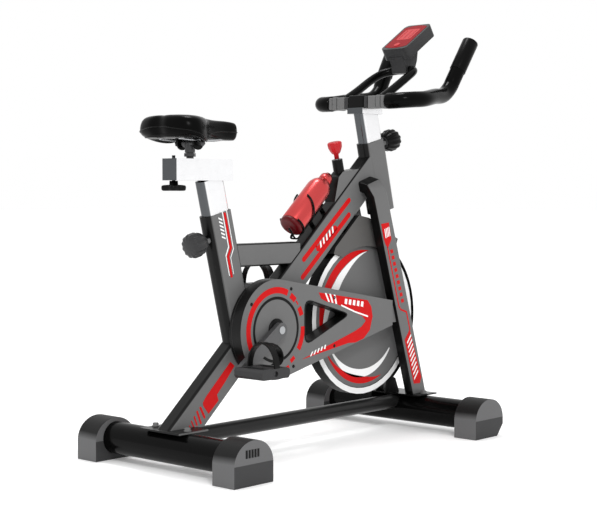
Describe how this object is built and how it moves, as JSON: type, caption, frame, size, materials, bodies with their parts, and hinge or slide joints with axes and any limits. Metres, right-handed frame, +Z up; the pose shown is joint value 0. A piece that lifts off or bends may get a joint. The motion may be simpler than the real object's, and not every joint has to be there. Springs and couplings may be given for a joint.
{
  "type": "indoor spin bike",
  "caption": "Stationary spin bike with a belt-driven flywheel, sliding saddle, height-adjusted posts, forward handlebar, push brake, console and bottle.",
  "frame": {"origin": "middle of the bounding box's underside, on the floor", "axes": "+Z up, +X towards the front of the bike, the rider's right is -Y"},
  "size_m": [1.0606, 0.588, 1.0968],
  "materials": {
    "frame_paint": "gloss black paint",
    "guard_grey": "satin grey plastic",
    "foot_plastic": "grey plastic",
    "black_plastic": "black plastic",
    "chrome": "polished",
    "steel": "machined",
    "pulley_alloy": "cast",
    "saddle_pu": "glossy black synthetic leather",
    "foam": "black foam rubber",
    "belt_rubber": "black rubber",
    "wheel_rubber": "grey rubber",
    "brake_red": "gloss red",
    "button_red": "gloss red",
    "bottle_red": "metallic red"
  },
  "bodies": {
    "frame": {"rear_stabiliser_tube": "frame_paint", "front_stabiliser_tube": "frame_paint", "rear_foot_right": "foot_plastic", "rear_foot_left": "foot_plastic", "front_foot_right": "foot_plastic", "front_foot_left": "foot_plastic", "centre_beam": "frame_paint", "front_mount_plate": "frame_paint", "main_tube": "frame_paint", "seat_tube": "frame_paint", "head_tube": "frame_paint", "top_tube": "frame_paint", "crank_bearing_shell": "frame_paint", "fork_leg_right": "frame_paint", "fork_leg_left": "frame_paint", "axle_bracket_right": "frame_paint", "axle_bracket_left": "frame_paint", "flywheel_axle": "steel", "drive_belt": "belt_rubber", "guard_outer_cover": "guard_grey", "guard_inner_cover": "black_plastic", "brake_housing": "guard_grey", "brake_bracket": "frame_paint", "brake_sleeve": "black_plastic", "front_fender": "black_plastic", "bottle_cage": "black_plastic"},
    "crank": {"crank_spindle": "steel", "drive_pulley": "pulley_alloy", "crank_arm_right": "steel", "crank_arm_left": "steel"},
    "flywheel": {"flywheel": "steel", "flywheel_pulley": "steel"},
    "pedal_right": {"pedal_right": "black_plastic", "toe_cage_right": "black_plastic"},
    "pedal_left": {"pedal_left": "black_plastic", "toe_cage_left": "black_plastic"},
    "transport_wheel_right": {"transport_wheel_right": "wheel_rubber"},
    "transport_wheel_left": {"transport_wheel_left": "wheel_rubber"},
    "brake": {"brake_rod": "steel", "brake_pad": "foam"},
    "brake_knob": {"brake_knob": "brake_red"},
    "seat_post": {"seat_post": "chrome"},
    "saddle_slider": {"saddle_slider": "steel", "saddle_clamp": "steel"},
    "saddle": {"saddle_shell": "black_plastic", "saddle_pad": "saddle_pu"},
    "star_knob": {"star_knob": "black_plastic"},
    "seat_lock_pin": {"seat_lock_pin": "steel"},
    "seat_lock_knob": {"seat_lock_knob": "black_plastic"},
    "head_lock_pin": {"head_lock_pin": "steel"},
    "head_lock_knob": {"head_lock_knob": "black_plastic"},
    "handlebar": {"handlebar_post": "chrome", "handlebar_bar": "frame_paint", "grip_right": "foam", "grip_left": "foam", "centre_loop": "frame_paint", "console_case": "black_plastic", "console_bracket": "black_plastic"},
    "console_button": {"console_button": "button_red"},
    "bottle": {"bottle": "bottle_red"}
  },
  "joints": [
    {"name": "seat_height", "type": "slide", "parent": "frame", "child": "seat_post", "axis": [-0.2419, 0, 0.9703], "range_m": [-0.045, 0.12]},
    {"name": "saddle_slide", "type": "slide", "parent": "seat_post", "child": "saddle_slider", "axis": [1, 0, 0], "range_m": [0, 0.065]},
    {"name": "saddle_tilt", "type": "hinge", "parent": "saddle_slider", "child": "saddle", "pos_m": [-0.4083, 0, 0.75], "axis": [0, 1, 0], "range_deg": [-12, 12]},
    {"name": "star_knob_turn", "type": "hinge", "parent": "seat_post", "child": "star_knob", "pos_m": [-0.4593, 0, 0.65], "axis": [0, 0, 1], "continuous": true},
    {"name": "seat_lock_pull", "type": "slide", "parent": "frame", "child": "seat_lock_pin", "axis": [-0.9703, 0, -0.2419], "range_m": [0, 0.012], "stiffness_N_per_m": 900, "springref_m": -0.008},
    {"name": "seat_knob_turn", "type": "hinge", "parent": "seat_lock_pin", "child": "seat_lock_knob", "pos_m": [-0.3148, 0, 0.5337], "axis": [-0.9703, 0, -0.2419], "continuous": true},
    {"name": "head_lock_pull", "type": "slide", "parent": "frame", "child": "head_lock_pin", "axis": [0.9703, 0, 0.2419], "range_m": [0, 0.012], "stiffness_N_per_m": 900, "springref_m": -0.008},
    {"name": "head_knob_turn", "type": "hinge", "parent": "head_lock_pin", "child": "head_lock_knob", "pos_m": [0.2466, 0, 0.7565], "axis": [0.9703, 0, 0.2419], "continuous": true},
    {"name": "handlebar_height", "type": "slide", "parent": "frame", "child": "handlebar", "axis": [-0.2419, 0, 0.9703], "range_m": [-0.03, 0.09]},
    {"name": "brake_push", "type": "slide", "parent": "frame", "child": "brake", "axis": [0.2419, 0, -0.9703], "range_m": [0, 0.0055], "stiffness_N_per_m": 1500, "springref_m": -0.01},
    {"name": "brake_knob_turn", "type": "hinge", "parent": "brake", "child": "brake_knob", "pos_m": [0.0997, 0, 0.762], "axis": [0.2419, 0, -0.9703], "continuous": true},
    {"name": "flywheel_spin", "type": "hinge", "parent": "frame", "child": "flywheel", "pos_m": [0.1977, 0, 0.31], "axis": [0, 1, 0], "continuous": true},
    {"name": "crank_spin", "type": "hinge", "parent": "frame", "child": "crank", "pos_m": [-0.1833, 0, 0.306], "axis": [0, 1, 0], "continuous": true},
    {"name": "pedal_right_spin", "type": "hinge", "parent": "crank", "child": "pedal_right", "pos_m": [-0.3133, -0.139, 0.2216], "axis": [0, 1, 0], "continuous": true},
    {"name": "pedal_left_spin", "type": "hinge", "parent": "crank", "child": "pedal_left", "pos_m": [-0.0533, 0.139, 0.3904], "axis": [0, 1, 0], "continuous": true},
    {"name": "transport_wheel_right_spin", "type": "hinge", "parent": "frame", "child": "transport_wheel_right", "pos_m": [0.4117, -0.274, 0.029], "axis": [0, 1, 0], "continuous": true},
    {"name": "transport_wheel_left_spin", "type": "hinge", "parent": "frame", "child": "transport_wheel_left", "pos_m": [0.4117, 0.274, 0.029], "axis": [0, 1, 0], "continuous": true},
    {"name": "console_button_press", "type": "slide", "parent": "handlebar", "child": "console_button", "axis": [0.5446, 0, -0.8387], "range_m": [0, 0.0015], "stiffness_N_per_m": 400, "springref_m": -0.002},
    {"name": "bottle_lift", "type": "slide", "parent": "frame", "child": "bottle", "axis": [-0.6665, 0, 0.7455], "range_m": [0, 0.1]}
  ],
  "couplings": [
    {"joint": "crank_spin", "follows": "flywheel_spin", "ratio": 0.30435}
  ]
}
